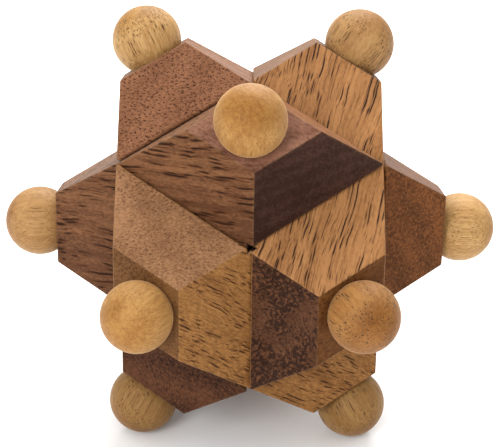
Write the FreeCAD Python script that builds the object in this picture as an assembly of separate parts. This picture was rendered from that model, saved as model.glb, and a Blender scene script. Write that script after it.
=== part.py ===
import FreeCAD, Part
import math
import os

# A diagonal burr puzzle: six identical notched bars that lock into a twelve-pointed star, with a
# wooden ball on each point.  It stands on three of its balls.  Lengths are in millimetres.
#
# Each bar is first made in the puzzle's own cubic frame, centred on the star: it lies along Y above
# the centre, turned so that one long edge faces the centre and the opposite one faces out.  Thirds
# of a turn about the (1, 1, 1) diagonal and half turns about X then carry it to its six places.

# Driving dimensions
stick_side = 24.0         # width of the square stick that a bar is cut from
end_overrun = 1.0         # how far a roof-shaped end runs on past a tight star's outline
tip_trim = 11.4           # length of sharp tip sawn off to make each ball's seat
notch_clearance = 0.15    # gap left between a notch wall and the bar lying in it
bar_spread = 0.4          # how far each bar stands out from a dead tight star
edge_radius = 0.4         # sanded rounding of a bar's edges
rounding_share = 0.6      # most of a roof end's overrun past its neighbour that the rounding takes
ball_diameter = 13.2      # wooden ball on each point
ball_seat_cut = 2.8       # height of the cap cut from a ball to make it sit flat
dowel_diameter = 3.0      # hidden pin that holds a ball on
dowel_in_bar = 6.5        # depth of the pin's hole in the bar
dowel_in_ball = 5.5       # length of pin inside the ball
dowel_glue_gap = 0.05     # radial room for glue round the pin
dowel_end_gap = 0.5       # room for glue past the pin's end in the ball

# Construction sizes
cutter_length = 5.0 * stick_side    # reaches through the whole bar from any side
same_place = 0.001                  # two points nearer than this are one

# Worked-out dimensions
half_diagonal = stick_side / math.sqrt(2.0)
outer_edge = 2.0 * half_diagonal
end_reach = outer_edge + end_overrun
notch_lift = notch_clearance * math.sqrt(2.0)
seat_height = outer_edge * math.sqrt(2.0) - tip_trim
seat_reach = seat_height * math.sqrt(2.0)
ball_radius = ball_diameter / 2.0
ball_centre_height = seat_height + ball_radius - ball_seat_cut
dowel_radius = dowel_diameter / 2.0
edge_rounding = min(edge_radius, rounding_share * (end_overrun - notch_lift))
rest_height = ball_centre_height * math.sqrt(2.0 / 3.0) + bar_spread / math.sqrt(3.0) + ball_radius

# Each bar's name, thirds of a turn about the diagonal, whether it starts below the centre, and the
# names of the star's points at its +Y and -Y ends.
bars = [
    ("upper_left", 0, False, "top_front", "middle_left"),
    ("lower_front", 1, False, "middle_front_left", "bottom_front_right"),
    ("upper_right", 2, False, "middle_front_right", "top_rear_right"),
    ("lower_right", 0, True, "bottom_rear", "middle_right"),
    ("upper_rear", 1, True, "middle_rear_right", "top_rear_left"),
    ("lower_left", 2, True, "middle_rear_left", "bottom_front_left"),
]


def prism(points, direction):
    """Solid swept from a closed polygon, equally far to both sides of the polygon's plane."""
    half_way = direction * 0.5
    corners = [point - half_way for point in points]
    face = Part.Face(Part.makePolygon(corners + corners[:1]))
    return face.extrude(direction)


def square_stick():
    """The square stick, standing on its inner edge and wide enough for the whole bar."""
    outline = [
        FreeCAD.Vector(0.0, 0.0, 0.0),
        FreeCAD.Vector(half_diagonal, 0.0, half_diagonal),
        FreeCAD.Vector(0.0, 0.0, outer_edge),
        FreeCAD.Vector(-half_diagonal, 0.0, half_diagonal),
    ]
    return prism(outline, FreeCAD.Vector(0.0, cutter_length, 0.0))


def roof_ends():
    """Plan view of the two roof-shaped ends: four upright faces at 45 degrees to the bar."""
    outline = [
        FreeCAD.Vector(end_reach, 0.0, half_diagonal),
        FreeCAD.Vector(0.0, end_reach, half_diagonal),
        FreeCAD.Vector(-end_reach, 0.0, half_diagonal),
        FreeCAD.Vector(0.0, -end_reach, half_diagonal),
    ]
    return prism(outline, FreeCAD.Vector(0.0, 0.0, cutter_length))


def side_profile():
    """Side view: the central tooth, a V notch each side of it, and the sawn-off tips."""
    right_half = [
        FreeCAD.Vector(0.0, half_diagonal, half_diagonal + notch_lift),
        FreeCAD.Vector(0.0, outer_edge + notch_lift, 0.0),
        FreeCAD.Vector(0.0, seat_reach, 0.0),
        FreeCAD.Vector(0.0, seat_reach - outer_edge, outer_edge),
    ]
    left_half = [FreeCAD.Vector(0.0, -point.y, point.z) for point in reversed(right_half)]
    tooth_edge = [FreeCAD.Vector(0.0, 0.0, notch_lift)]
    return prism(tooth_edge + right_half + left_half, FreeCAD.Vector(cutter_length, 0.0, 0.0))


def tip_direction(side):
    """Outward direction of the point at one end of a bar."""
    return FreeCAD.Vector(0.0, side, 1.0).normalize()


def dowel_hole(side):
    """Blind hole for a ball's pin, drilled square to the tip's seat."""
    direction = tip_direction(side)
    bottom = direction * (seat_height - dowel_in_bar)
    return Part.makeCylinder(dowel_radius + dowel_glue_gap, dowel_in_bar + tip_trim, bottom, direction)


def is_notch_root(edge):
    """Whether an edge is the inner corner of a V notch, which the saw leaves sharp."""
    middle = edge.CenterOfMass
    from_root = FreeCAD.Vector(middle.x, abs(middle.y) - half_diagonal, middle.z - half_diagonal - notch_lift)
    return from_root.Length < same_place


def bar_shape():
    """One whole bar with its outer edges rounded and its two dowel holes."""
    blank = square_stick().common(roof_ends()).common(side_profile()).removeSplitter()
    outer_edges = [edge for edge in blank.Edges if not is_notch_root(edge)]
    rounded = blank.makeFillet(edge_rounding, outer_edges)
    return rounded.cut(dowel_hole(1.0)).cut(dowel_hole(-1.0)).Solids[0]


def ball_shape(side):
    """Ball with a flat seat and a blind hole for its pin."""
    direction = tip_direction(side)
    seat = direction * seat_height
    centre = direction * ball_centre_height
    ball = Part.makeSphere(ball_radius, centre)
    cap = Part.makeCylinder(ball_diameter, ball_diameter, seat, direction * -1.0)
    hole_depth = dowel_in_ball + dowel_end_gap
    hole = Part.makeCylinder(dowel_radius + dowel_glue_gap, hole_depth, seat, direction)
    return ball.cut(cap).cut(hole)


def dowel_shape(side):
    """Pin that stands on the bottom of the bar's hole and reaches into the ball."""
    direction = tip_direction(side)
    bottom = direction * (seat_height - dowel_in_bar)
    return Part.makeCylinder(dowel_radius, dowel_in_bar + dowel_in_ball, bottom, direction)


def bar_place(thirds, below):
    """Turn that carries the first bar's pieces to one of the six places in the cubic frame."""
    diagonal_turn = FreeCAD.Rotation(FreeCAD.Vector(1.0, 1.0, 1.0), 120.0 * thirds)
    half_turn = FreeCAD.Rotation(FreeCAD.Vector(1.0, 0.0, 0.0), 180.0 if below else 0.0)
    return diagonal_turn.multiply(half_turn)


def standing_turn():
    """Turn from the cubic frame to the row's frame, where the star stands on three balls."""
    right = FreeCAD.Vector(0.0, 1.0, -1.0).normalize()
    up = FreeCAD.Vector(-1.0, 1.0, 1.0).normalize()
    back = up.cross(right)
    return FreeCAD.Rotation(right, back, up, "ZXY").inverted()


def place(shape, turn):
    """Move a piece of the first bar out by the spread, turn it to its place and stand it up."""
    outward = FreeCAD.Placement(FreeCAD.Vector(0.0, 0.0, bar_spread), FreeCAD.Rotation())
    stand = FreeCAD.Placement(FreeCAD.Vector(0.0, 0.0, rest_height), turn)
    placed = shape.copy()
    placed.Placement = stand.multiply(outward).multiply(shape.Placement)
    return placed


def export(shape, node):
    """Write one node's solid."""
    shape.exportStep("parts/" + node + ".step")


os.makedirs("parts", exist_ok=True)
bar = bar_shape()
for bar_name, thirds, below, front_point, back_point in bars:
    turn = standing_turn().multiply(bar_place(thirds, below))
    export(place(bar, turn), "bar_" + bar_name)
    for side, point in ((1.0, front_point), (-1.0, back_point)):
        export(place(ball_shape(side), turn), "ball_" + point)
        export(place(dowel_shape(side), turn), "dowel_" + point)
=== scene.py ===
import math

import bpy
from mathutils import Matrix, Vector


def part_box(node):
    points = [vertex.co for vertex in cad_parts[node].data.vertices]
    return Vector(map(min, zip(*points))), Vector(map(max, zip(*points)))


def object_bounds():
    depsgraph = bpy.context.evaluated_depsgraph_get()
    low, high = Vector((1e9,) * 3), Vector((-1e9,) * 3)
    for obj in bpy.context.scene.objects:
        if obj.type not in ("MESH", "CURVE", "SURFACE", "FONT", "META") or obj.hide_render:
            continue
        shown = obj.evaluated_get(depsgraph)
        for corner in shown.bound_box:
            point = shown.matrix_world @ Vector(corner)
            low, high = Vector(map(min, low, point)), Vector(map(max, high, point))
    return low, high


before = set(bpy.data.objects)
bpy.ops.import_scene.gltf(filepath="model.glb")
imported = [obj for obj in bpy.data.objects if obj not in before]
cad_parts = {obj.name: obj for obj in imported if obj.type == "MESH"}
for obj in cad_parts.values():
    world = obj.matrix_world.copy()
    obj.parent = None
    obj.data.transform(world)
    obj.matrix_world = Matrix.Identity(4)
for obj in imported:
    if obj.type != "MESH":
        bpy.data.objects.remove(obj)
cad_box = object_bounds()

# The wooden burr puzzle: six bars of a coarse-pored brown hardwood and twelve pale turned balls.
# Every texture is solid: it is worked out from the piece's own coordinates, turned so that the
# grain runs along the bar, so end grain shows dots where long grain shows streaks.

MM = 0.001

# Scales at which noise is looked up, for each millimetre: across the grain twice, then along it.
WANDER_SCALE = (0.05, 0.05, 0.035)
WAVER_SCALE = (0.3, 0.3, 0.2)
FIBRE_SCALE = (1.5, 1.5, 0.08)
FLECK_SCALE = (2.4, 2.4, 1.2)
PATCH_SCALE = (0.22, 0.22, 0.12)
CURDLE_SCALE = (0.5, 0.5, 0.4)
SPOT_SCALE = (2.0, 1.2, 1.2)
WAVE_SCALE = (0.16, 0.16, 0.16)
RUB_AND_HIGHLIGHT_SCALE = (0.5, 0.5, 0.5)

# Each step of a look's seed takes its wood from a place this far on, in millimetres.
SEED_STEP = Vector((37.3, 11.9, 23.1))

NOISE_MIDDLE = 0.5        # the value that noise varies about
FIGURE_STRETCH = 0.2      # the broad figure's scale along the grain, as a share of that across it
CURDLE_REACH = 1.5        # how far the curdled spots are pushed about, in millimetres
SMALLEST_PORE = 0.4       # the smallest pore's radius as a share of the largest one's
SEAT_BAND = (0.35, 0.65)  # how squarely a face has to point outward to look like a ball's seat
# The half picked out by the next band is tinted partly by the end grain's own tone and partly by painted
# shade.
DARK_BAND = (0.5, 0.9)    # the same for the half of a bar's front end that has the end tint
PALE_SHARE = 0.5          # how strong the curdled pale spots are beside the dark ones
MIDDLE_TONE = 0.5         # half way between a look's light colour and its dark streaks

# Where a pore and the halo round it fade out, in pore radii from the pore's middle.
PORE_FADE = (0.5, 1.2)
HALO_FADE = (0.9, 2.4)

# The noise values between which curdled spots fade in, and how waves of them shift those values.
DARK_SPOTS = (0.42, 0.58)
PALE_SPOTS = (0.36, 0.50)
WAVE_BAND = (0.36, 0.64)
WAVE_SHIFT = (-0.12, 0.06)

# A flat faces midway between two of its bar's directions.  An edge faces a little of all three,
# so that their product grows, or leans to one, so that the largest grows.
EDGE_PRODUCT = (0.02, 0.08)
EDGE_LARGEST = (0.76, 0.86)
# Patches along the edges that are lightened, partly by real wear and partly as a painted highlight.
RUB_AND_HIGHLIGHT_PATCHES = (0.35, 0.6)
RUB_AND_HIGHLIGHT_SHARE = (0.3, 1.0)

PORE_DEPTH = 0.12 * MM
FIBRE_HEIGHT = 0.3        # how high fibres stand, as a share of the pores' depth
RELIEF_STRENGTH = 0.5
PORE_ROUGHNESS = 0.2      # what a pore adds to the roughness, and then what a fibre adds
FIBRE_ROUGHNESS = 0.12
SHEEN_ROUGHNESS = 0.3
WARM_SHEEN = (1.0, 0.72, 0.5)
WHITE = (1.0, 1.0, 1.0)
FLOOR_PAINT = (0.9, 0.9, 0.9)

lowest, highest = cad_box
centre = (lowest + highest) / 2.0

# Each bar's name and the two points of the star at its ends.
BAR_POINTS = {
    "upper_left": ("top_front", "middle_left"),
    "lower_front": ("middle_front_left", "bottom_front_right"),
    "upper_right": ("middle_front_right", "top_rear_right"),
    "lower_right": ("bottom_rear", "middle_right"),
    "upper_rear": ("middle_rear_right", "top_rear_left"),
    "lower_left": ("middle_rear_left", "bottom_front_left"),
}


# ---------------------------------------------------------------- places

def middle_of(node):
    """Middle of a CAD node's box."""
    low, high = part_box(node)
    return (low + high) / 2.0


def bar_axes(bar):
    """A bar's across, outward and along directions, from where its two balls are."""
    front, back = (middle_of("ball_" + point) for point in BAR_POINTS[bar])
    along = (front - back).normalized()
    outward = (front + back) / 2.0 - centre
    outward = (outward - outward.dot(along) * along).normalized()
    across = outward.cross(along)
    return across, outward, along


# ---------------------------------------------------------------- material building

class Graph:
    """A material's node tree, with one short call for each kind of node that the wood needs."""

    def __init__(self, name):
        self.material = bpy.data.materials.new(name)
        self.material.use_nodes = True
        self.tree = self.material.node_tree
        self.tree.nodes.clear()
        output = self.add("ShaderNodeOutputMaterial")
        self.shader = self.add("ShaderNodeBsdfPrincipled")
        self.join(self.shader.outputs["BSDF"], output.inputs["Surface"])

    def add(self, kind, **settings):
        node = self.tree.nodes.new(kind)
        for key, value in settings.items():
            setattr(node, key, value)
        return node

    def join(self, source, target):
        self.tree.links.new(source, target)

    def feed(self, target, value):
        """Link an output to a socket, or set the socket to a plain value."""
        if isinstance(value, bpy.types.NodeSocket):
            self.join(value, target)
        else:
            target.default_value = value

    def math(self, operation, first, second=0.0, third=0.0, clamp=False):
        """A sum on numbers or links, by Blender's name for it."""
        node = self.add("ShaderNodeMath", operation=operation, use_clamp=clamp)
        for socket, value in zip(node.inputs, (first, second, third)):
            self.feed(socket, value)
        return node.outputs["Value"]

    def vector(self, operation, first, second=(0.0, 0.0, 0.0)):
        """The same on vectors; a length and a dot product come out as a number."""
        node = self.add("ShaderNodeVectorMath", operation=operation)
        self.feed(node.inputs[0], first)
        self.feed(node.inputs[1], second)
        name = "Value" if operation in ("LENGTH", "DOT_PRODUCT") else "Vector"
        return node.outputs[name]

    def scaled(self, point, scale):
        return self.vector("MULTIPLY", point, scale)

    def noise(self, point, detail, roughness=0.55, colour=False):
        """Cloudy noise at a point, as one number or as three."""
        node = self.add("ShaderNodeTexNoise")
        self.feed(node.inputs["Vector"], point)
        node.inputs["Scale"].default_value = 1.0
        node.inputs["Detail"].default_value = detail
        node.inputs["Roughness"].default_value = roughness
        return node.outputs["Color" if colour else "Fac"]

    def cells(self, point):
        """Distance to the nearest of scattered points in the XY plane, and a random colour for each."""
        node = self.add("ShaderNodeTexVoronoi", voronoi_dimensions="2D", feature="F1")
        self.feed(node.inputs["Vector"], point)
        node.inputs["Scale"].default_value = 1.0
        return node.outputs["Distance"], node.outputs["Color"]

    def remap(self, value, low, high, to_low=0.0, to_high=1.0, smooth=True):
        """Bring a value from one range to another, held at both ends."""
        node = self.add("ShaderNodeMapRange")
        node.interpolation_type = "SMOOTHSTEP" if smooth else "LINEAR"
        ends = {"From Min": low, "From Max": high, "To Min": to_low, "To Max": to_high}
        for key, end in ends.items():
            node.inputs[key].default_value = end
        self.feed(node.inputs["Value"], value)
        return node.outputs["Result"]


def colour_input(node, name):
    """The colour socket of that name on a Mix node."""
    return [s for s in node.inputs if s.name == name and s.type == "RGBA"][0]


def mix_colour(graph, share, first, second, blend="MIX"):
    """Mix two colours, each a link or four numbers."""
    node = graph.add("ShaderNodeMix", data_type="RGBA", blend_type=blend)
    graph.feed([s for s in node.inputs if s.name == "Factor" and s.type == "VALUE"][0], share)
    graph.feed(colour_input(node, "A"), first)
    graph.feed(colour_input(node, "B"), second)
    return [s for s in node.outputs if s.type == "RGBA"][0]


def rgba(colour):
    return (*colour, 1.0)


def grain_point(graph, axes, origin, look):
    """The point in millimetres with Z along the grain: once wandering, once straight."""
    lean = Vector(look["grain"]).rotation_difference(Vector((0.0, 0.0, 1.0))).to_matrix()
    turn = lean @ Matrix(axes)
    place = graph.add("ShaderNodeTexCoord").outputs["Object"]
    mapping = graph.add("ShaderNodeMapping", vector_type="POINT")
    graph.join(place, mapping.inputs["Vector"])
    mapping.inputs["Scale"].default_value = (1.0 / MM,) * 3
    mapping.inputs["Rotation"].default_value = turn.to_euler("XYZ")
    mapping.inputs["Location"].default_value = turn @ (origin / -MM)
    point = from_middle = mapping.outputs["Vector"]
    point = graph.vector("ADD", point, tuple(SEED_STEP * look["seed"]))
    for scale, reach in ((WANDER_SCALE, look["wander"]), (WAVER_SCALE, look["waver"])):
        drift = graph.noise(graph.scaled(point, scale), detail=1.0, colour=True)
        drift = graph.vector("SUBTRACT", drift, (NOISE_MIDDLE,) * 3)
        point = graph.vector("ADD", point, graph.scaled(drift, (reach, reach, 0.0)))
    return point, from_middle


def faces_towards(graph, direction):
    """How squarely the surface faces a direction of the piece, from -1 to 1."""
    normal = graph.add("ShaderNodeTexCoord").outputs["Normal"]
    return graph.vector("DOT_PRODUCT", normal, tuple(direction))


def vessels(graph, point, spacing, radius, patchiness):
    """Long thin pores along the grain: how deep in a pore a point is, and how near to one."""
    distance, random = graph.cells(graph.scaled(point, (1.0 / spacing, 1.0 / spacing, 0.0)))
    split = graph.add("ShaderNodeSeparateColor")
    graph.join(random, split.inputs["Color"])
    size = graph.remap(split.outputs["Red"], 0.0, 1.0, SMALLEST_PORE * radius, radius, smooth=False)
    share = graph.math("DIVIDE", graph.math("MULTIPLY", distance, spacing), size)
    pore = graph.remap(share, *PORE_FADE, 1.0, 0.0)
    # The patchier the wood, the sharper the borders between its pored and its clear places.
    patch = graph.noise(graph.scaled(point, PATCH_SCALE), detail=2.0)
    patch = graph.remap(patch, NOISE_MIDDLE - 0.5 / patchiness, NOISE_MIDDLE)
    halo = graph.remap(share, *HALO_FADE, 1.0, 0.0)
    return graph.math("MULTIPLY", pore, patch), graph.math("MULTIPLY", halo, patch)


def burl(graph, point):
    """How far a point is in a dark spot and in a pale one, of wood curdled beside a knot."""
    drift = graph.noise(graph.scaled(point, CURDLE_SCALE), detail=1.0, colour=True)
    drift = graph.vector("SUBTRACT", drift, (NOISE_MIDDLE,) * 3)
    drift = graph.scaled(drift, (CURDLE_REACH,) * 3)
    spots = graph.noise(graph.scaled(graph.vector("ADD", point, drift), SPOT_SCALE), detail=2.0)
    # Where a wave is high there are more dark spots, and more pale ones too.
    waves = graph.noise(graph.scaled(point, WAVE_SCALE), detail=1.0)
    waves = graph.remap(waves, *WAVE_BAND, *WAVE_SHIFT)
    dark = graph.remap(graph.math("ADD", spots, waves), *DARK_SPOTS)
    pale = graph.remap(graph.math("SUBTRACT", spots, waves), *PALE_SPOTS, 1.0, 0.0)
    return dark, pale


def rubbed_and_highlit_edges(graph, axes, point):
    """Where the rounded edges, which face between the flats' directions, are lightened: partly rubbed by
    handling, partly a painted highlight.
    """
    facing = [graph.math("ABSOLUTE", faces_towards(graph, direction)) for direction in axes]
    product = graph.math("MULTIPLY", graph.math("MULTIPLY", facing[0], facing[1]), facing[2])
    largest = graph.math("MAXIMUM", graph.math("MAXIMUM", facing[0], facing[1]), facing[2])
    corner = graph.remap(product, *EDGE_PRODUCT)
    edge = graph.math("MAXIMUM", corner, graph.remap(largest, *EDGE_LARGEST))
    patch = graph.noise(graph.scaled(point, RUB_AND_HIGHLIGHT_SCALE), detail=2.0)
    return graph.math("MULTIPLY", edge, graph.remap(patch, *RUB_AND_HIGHLIGHT_PATCHES, *RUB_AND_HIGHLIGHT_SHARE))


def long_grain(graph, point, from_middle, look):
    """The colour that rings, broad figure, fibres and flecks give, and the fibres by themselves."""
    from_heart = graph.vector("ADD", point, (*look["heart"], 0.0))
    ring = graph.vector("LENGTH", graph.scaled(from_heart, (1.0, 1.0, 0.0)))
    ring = graph.math("SINE", graph.math("MULTIPLY", ring, 2.0 * math.pi / look["ring_width"]))
    broad = look["figure_scale"]
    figure = graph.noise(graph.scaled(point, (broad, broad, FIGURE_STRETCH * broad)), detail=2.0)
    fibre = graph.noise(graph.scaled(point, FIBRE_SCALE), detail=3.0, roughness=0.7)
    fleck = graph.noise(graph.scaled(point, FLECK_SCALE), detail=2.0)
    tone = graph.math("MULTIPLY", ring, 0.5 * look["ring_strength"])
    parts = {"figure_strength": figure, "fibre_strength": fibre, "fleck_strength": fleck}
    for key, part in parts.items():
        part = graph.math("SUBTRACT", part, NOISE_MIDDLE)
        tone = graph.math("MULTIPLY_ADD", part, look[key], tone)
    slope = graph.vector("DOT_PRODUCT", from_middle, look["slope"])
    tone = graph.math("ADD", graph.math("ADD", tone, slope), MIDDLE_TONE, clamp=True)
    dark = [part * share for part, share in zip(look["light"], look["dark_share"])]
    return mix_colour(graph, tone, rgba(look["light"]), rgba(dark)), fibre


def curdled(graph, point, colour, place, look):
    """Lay the curdled figure over a colour, in the place given."""
    strength = graph.math("MULTIPLY", place, look["burl_strength"])
    dark_spot, pale_spot = burl(graph, point)
    pale_spot = graph.math("MULTIPLY", pale_spot, graph.math("MULTIPLY", strength, PALE_SHARE))
    colour = mix_colour(graph, pale_spot, colour, rgba(look["pale"]))
    return mix_colour(graph, graph.math("MULTIPLY", dark_spot, strength), colour, rgba(look["pore"]))


def pored(graph, point, colour, end, look):
    """Lay the pores and their halos over a colour; also how deep in a pore each point is."""
    shown = graph.remap(end, 0.0, 1.0, 1.0, look["end_pores"])
    pitted = 0.0
    for spacing, radius, strength in look["pores"]:
        pore, halo = vessels(graph, point, spacing, radius, look["patchiness"])
        halo = graph.math("MULTIPLY", halo, look["halo_strength"])
        colour = mix_colour(graph, halo, colour, rgba(look["halo"]))
        pore = graph.math("MULTIPLY", pore, graph.math("MULTIPLY", shown, strength))
        colour = mix_colour(graph, pore, colour, rgba(look["pore"]))
        pitted = graph.math("MAXIMUM", pitted, pore)
    return colour, pitted


def surface(graph, fibre, pitted, look):
    """Roughness, relief and sheen: pores are rough pits, and fibres stand up a little."""
    rough = graph.math("MULTIPLY_ADD", pitted, PORE_ROUGHNESS, look["roughness"])
    rough = graph.math("MULTIPLY_ADD", fibre, FIBRE_ROUGHNESS, rough)
    graph.join(rough, graph.shader.inputs["Roughness"])
    bump = graph.add("ShaderNodeBump")
    bump.inputs["Strength"].default_value = RELIEF_STRENGTH
    bump.inputs["Distance"].default_value = PORE_DEPTH
    height = graph.math("MULTIPLY_ADD", pitted, -1.0, graph.math("MULTIPLY", fibre, FIBRE_HEIGHT))
    graph.join(height, bump.inputs["Height"])
    graph.join(bump.outputs["Normal"], graph.shader.inputs["Normal"])
    graph.shader.inputs["Specular IOR Level"].default_value = look["shine"]
    graph.shader.inputs["Sheen Weight"].default_value = look["sheen"]
    graph.shader.inputs["Sheen Roughness"].default_value = SHEEN_ROUGHNESS
    graph.shader.inputs["Sheen Tint"].default_value = rgba(WARM_SHEEN)


def wood(name, axes, origin, look):
    """One piece's wood, whose rings, figure and pores run through the whole piece."""
    graph = Graph(name)
    across, outward, along = axes
    point, from_middle = grain_point(graph, axes, origin, look)
    colour, fibre = long_grain(graph, point, from_middle, look)

    facing_front = faces_towards(graph, along)
    end = graph.remap(graph.math("ABSOLUTE", facing_front), look["end_from"], look["end_to"])
    seat = graph.remap(faces_towards(graph, outward), *SEAT_BAND)
    # The half of a front end turned from the across direction; its tint is partly the end grain's tone
    # and partly painted shade.
    toned_and_shaded_half = graph.math("SUBTRACT", facing_front, faces_towards(graph, across))
    toned_and_shaded_half = graph.remap(toned_and_shaded_half, *DARK_BAND)
    if look["burl_strength"] > 0.0:
        off_seat = graph.math("SUBTRACT", 1.0, seat)
        place = graph.math("MULTIPLY", graph.math("MULTIPLY", toned_and_shaded_half, end), off_seat)
        colour = curdled(graph, point, colour, place, look)
    colour, pitted = pored(graph, point, colour, end, look)

    # End grain takes oil unlike long grain; the sawn seats under the balls have their own tone.  On a
    # bar, the two halves of the front end differ partly by painted shade.
    end_tint = mix_colour(graph, toned_and_shaded_half, rgba(look["far_tint"]), rgba(look["end_tint"]))
    end_tint = mix_colour(graph, seat, end_tint, rgba(look["seat_tint"]))
    tint = mix_colour(graph, end, rgba(WHITE), end_tint)
    colour = mix_colour(graph, 1.0, colour, tint, "MULTIPLY")
    # Rounded edges lightened towards the worn colour: partly real wear, partly a painted highlight.
    if look["wear_and_highlight"] > 0.0:
        worn_and_highlit = graph.math("MULTIPLY", rubbed_and_highlit_edges(graph, axes, point), look["wear_and_highlight"])
        colour = mix_colour(graph, worn_and_highlit, colour, rgba(look["worn_and_highlit"]))
    graph.join(colour, graph.shader.inputs["Base Color"])
    surface(graph, fibre, pitted, look)
    return graph.material


# ---------------------------------------------------------------- looks

# A look's light colour is the wood between its dark streaks, and dark_share is how much of it the
# streaks keep.  Three tints multiply the colour of end grain: seat_tint on the seats under the
# balls, end_tint on one half of the front end, and far_tint on its other half and the back end.
# On a bar, end_tint and far_tint are partly the end grain's own tone and partly painted shade, so
# that one face of a point differs from the other.  A ball has no seat for another ball, so there
# the three tint parts of its ends.  Pores are sets of spacing and radius, in millimetres, and
# strength.
BAR_WOOD = {
    "grain": (0.04, 0.06, 1.0), "seed": 1.0, "wander": 4.0, "waver": 0.8, "heart": (45.0, 30.0),
    "ring_width": 6.0, "ring_strength": 0.3, "figure_scale": 0.17, "figure_strength": 1.2,
    "fibre_strength": 1.4, "fleck_strength": 1.0, "burl_strength": 0.0, "halo_strength": 0.35,
    "patchiness": 2.0, "pores": ((0.8, 0.16, 0.8), (0.4, 0.07, 0.45)), "end_from": 0.35, "end_to": 0.65,
    "roughness": 0.5, "shine": 0.06, "dark_share": (0.6, 0.55, 0.5),
    "pore": (0.02, 0.008, 0.004), "halo": (0.09, 0.03, 0.01), "end_tint": (0.9, 0.9, 0.9),
    # The lightened edges below are partly real wear and partly a painted highlight.
    "seat_tint": (0.9, 0.85, 0.8), "far_tint": (0.9, 0.85, 0.85), "slope": (0.0, 0.0, 0.0), "wear_and_highlight": 0.06,
    "worn_and_highlit": (0.4, 0.25, 0.12), "sheen": 0.1, "end_pores": 0.5,
}

BAR_LOOKS = {
    "upper_left": {
        "grain": (-0.4, -0.25, 0.9), "heart": (30.0, 60.0), "ring_width": 2.6, "ring_strength": 0.35,
        "fibre_strength": 1.0, "fleck_strength": 1.8, "patchiness": 4.0, "end_pores": 0.25,
        "pores": ((0.9, 0.3, 1.0), (0.5, 0.11, 0.6)), "slope": (-0.03, 0.0, 0.01),
        "light": (0.18, 0.08, 0.035), "dark_share": (0.45, 0.4, 0.4),
        "end_tint": (0.3, 0.3, 0.45), "seat_tint": (1.3, 1.4, 2.0), "far_tint": (1.3, 1.2, 1.0)},
    "lower_front": {
        "grain": (-0.08, 0.08, 1.0), "seed": 2.0, "fleck_strength": 2.6, "patchiness": 3.0,
        "end_pores": 0.4, "pores": ((0.65, 0.16, 0.95), (0.28, 0.06, 0.5)), "light": (0.28, 0.13, 0.04),
        "end_tint": (1.0, 1.1, 1.7), "seat_tint": (0.6, 0.6, 0.7)},
    "upper_right": {
        "grain": (-0.2, -0.15, 1.0), "seed": 3.0, "fibre_strength": 1.8, "fleck_strength": 1.3,
        "patchiness": 3.0, "end_pores": 0.4, "pores": ((0.75, 0.17, 1.0), (0.4, 0.08, 0.6)),
        "burl_strength": 0.7, "pale": (0.5, 0.22, 0.08), "pore": (0.015, 0.009, 0.007),
        "light": (0.34, 0.16, 0.06), "end_tint": (0.27, 0.24, 0.3), "seat_tint": (0.4, 0.33, 0.24),
        "far_tint": (0.6, 0.6, 0.7)},
    "lower_right": {
        "seed": 4.0, "figure_strength": 0.7, "fleck_strength": 3.2, "light": (0.19, 0.07, 0.02),
        "dark_share": (0.35, 0.35, 0.3)},
    "upper_rear": {
        "seed": 5.0, "figure_strength": 0.6, "fleck_strength": 2.4, "patchiness": 1.0, "end_pores": 1.0,
        "pores": ((0.6, 0.14, 1.0), (0.3, 0.07, 0.6)), "light": (0.26, 0.12, 0.06)},
    "lower_left": {
        "seed": 6.0, "heart": (25.0, 65.0), "ring_width": 9.0, "ring_strength": 0.45,
        "figure_scale": 0.09, "figure_strength": 0.6, "fleck_strength": 2.2, "light": (0.11, 0.045, 0.02),
        "dark_share": (0.15, 0.15, 0.2)},
}

# The balls were turned from pale wood of four tones; dun is a darker one that paints shade on the two
# balls at the bottom, under the star.
STRAW = (0.46, 0.28, 0.11)
SAND = (0.37, 0.21, 0.08)
HONEY = (0.39, 0.21, 0.065)
SHADED_DUN = (0.27, 0.15, 0.05)
GINGER = (0.3, 0.14, 0.04)

# Pores of a ball of fine wood and of one of coarse wood, each a large set and a small one.
FINE_PORES = ((0.5, 0.08, 0.75), (0.28, 0.05, 0.45))
COARSE_PORES = ((0.55, 0.13, 1.0), (0.3, 0.06, 0.6))

BALL_WOOD = {
    **BAR_WOOD,
    "wander": 1.2, "waver": 0.4, "ring_width": 5.0, "ring_strength": 0.25, "fibre_strength": 2.4,
    "fleck_strength": 1.2, "shine": 0.15, "sheen": 0.25, "wear_and_highlight": 0.0, "patchiness": 4.0,
    "pores": ((0.55, 0.09, 0.4), (0.3, 0.05, 0.3)), "end_to": 0.95, "end_pores": 0.6,
    "light": STRAW, "dark_share": (0.7, 0.6, 0.5), "pore": (0.07, 0.03, 0.012),
    "halo": (0.2, 0.1, 0.03), "end_tint": (0.8, 0.7, 0.5), "seat_tint": (0.7, 0.6, 0.45),
    "far_tint": (0.95, 0.9, 0.9),
}

BALL_LOOKS = {
    "top_front": {"light": HONEY},
    "middle_front_left": {"light": HONEY, "end_tint": (0.95, 0.9, 0.8)},
    "middle_front_right": {
        "light": GINGER, "pores": COARSE_PORES, "pore": (0.035, 0.014, 0.006), "figure_strength": 2.2,
        "end_pores": 1.0},
    "middle_left": {"light": SAND, "pores": FINE_PORES, "end_tint": (0.7, 0.55, 0.4)},
    "middle_right": {"pores": FINE_PORES},
    "top_rear_left": {"pores": COARSE_PORES},
    "top_rear_right": {"light": SAND, "pores": COARSE_PORES},
    # The two bottom balls take the dun tone: painted shade from the star above them.
    "bottom_front_left": {"light": SHADED_DUN, "pores": COARSE_PORES},
    "bottom_front_right": {"light": SHADED_DUN, "pores": COARSE_PORES, "figure_strength": 1.8},
}


# ---------------------------------------------------------------- the object

def put_material(node, material):
    """Give every face of a CAD node one material."""
    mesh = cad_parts[node].data
    mesh.materials.clear()
    mesh.materials.append(material)


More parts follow.
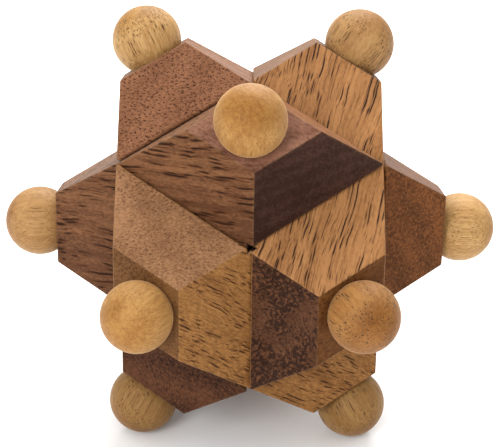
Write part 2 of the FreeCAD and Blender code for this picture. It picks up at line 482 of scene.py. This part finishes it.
def point_axes(point):
    """Directions at a point of the star: two sideways ones and the outward one."""
    along = (middle_of("ball_" + point) - centre).normalized()
    across = along.orthogonal().normalized()
    return across, across.cross(along), along


FIRST_BALL_SEED = 11.0

seed = FIRST_BALL_SEED
for bar, points in BAR_POINTS.items():
    bar_look = {**BAR_WOOD, **BAR_LOOKS[bar]}
    bar_wood = wood("wood_" + bar, bar_axes(bar), middle_of("bar_" + bar), bar_look)
    put_material("bar_" + bar, bar_wood)
    for point in points:
        ball_look = {**BALL_WOOD, "seed": seed, **BALL_LOOKS.get(point, {})}
        seed += 1.0
        ball_wood = wood("wood_ball_" + point, point_axes(point), middle_of("ball_" + point), ball_look)
        put_material("ball_" + point, ball_wood)
        put_material("dowel_" + point, ball_wood)


# ---------------------------------------------------------------- studio

def floor_sheet():
    """Plain pale floor, far wider than the view."""
    graph = Graph("floor_paint")
    graph.shader.inputs["Base Color"].default_value = rgba(FLOOR_PAINT)
    graph.shader.inputs["Roughness"].default_value = 0.9
    graph.shader.inputs["Specular IOR Level"].default_value = 0.1
    half = 4.0
    mesh = bpy.data.meshes.new("floor")
    corners = [(-half, -half, 0.0), (half, -half, 0.0), (half, half, 0.0), (-half, half, 0.0)]
    mesh.from_pydata(corners, [], [(0, 1, 2, 3)])
    mesh.materials.append(graph.material)
    floor = bpy.data.objects.new("floor", mesh)
    bpy.context.scene.collection.objects.link(floor)


def area_light(name, place, size, power):
    """Round soft light that points at the middle of the object."""
    data = bpy.data.lights.new(name, "AREA")
    data.shape = "DISK"
    data.size = size
    data.energy = power
    light = bpy.data.objects.new(name, data)
    light.location = place
    light.rotation_mode = "QUATERNION"
    light.rotation_quaternion = (centre - Vector(place)).to_track_quat("-Z", "Y")
    bpy.context.scene.collection.objects.link(light)


def studio():
    """A soft white dome that is brighter overhead, one soft light behind and one in front."""
    world = bpy.data.worlds.new("studio")
    bpy.context.scene.world = world
    world.use_nodes = True
    tree = world.node_tree
    direction = tree.nodes.new("ShaderNodeTexCoord").outputs["Generated"]
    split = tree.nodes.new("ShaderNodeSeparateXYZ")
    tree.links.new(direction, split.inputs["Vector"])
    dome = tree.nodes.new("ShaderNodeMapRange")
    dome.interpolation_type = "SMOOTHSTEP"
    for key, end in {"From Min": 0.35, "From Max": 0.95, "To Min": 0.7, "To Max": 1.6}.items():
        dome.inputs[key].default_value = end
    tree.links.new(split.outputs["Z"], dome.inputs["Value"])
    background = tree.nodes["Background"]
    background.inputs["Color"].default_value = rgba(WHITE)
    tree.links.new(dome.outputs["Result"], background.inputs["Strength"])
    area_light("overhead", place=(0.05, 0.38, 0.42), size=0.5, power=4.5)
    area_light("front", place=(-0.35, -0.7, 0.45), size=0.4, power=4.5)


def camera():
    """The viewpoint: a long lens a little above the object's front."""
    distance = 0.3871
    azimuth = math.radians(-0.3)
    elevation = math.radians(28.3)
    roll = math.radians(0.87)
    level = math.cos(elevation)
    back = Vector((math.sin(azimuth) * level, -math.cos(azimuth) * level, math.sin(elevation)))
    data = bpy.data.cameras.new("camera")
    data.lens = 143.6
    data.sensor_width = 36.0
    data.clip_start = 0.01
    data.clip_end = 20.0
    view = bpy.data.objects.new("camera", data)
    view.location = centre + back * distance
    view.rotation_mode = "QUATERNION"
    aim = (-back).to_track_quat("-Z", "Y")
    view.rotation_quaternion = aim @ Matrix.Rotation(roll, 3, "Z").to_quaternion()
    bpy.context.scene.collection.objects.link(view)
    bpy.context.scene.camera = view


floor_sheet()
studio()
camera()
bpy.context.scene.view_settings.view_transform = "Standard"
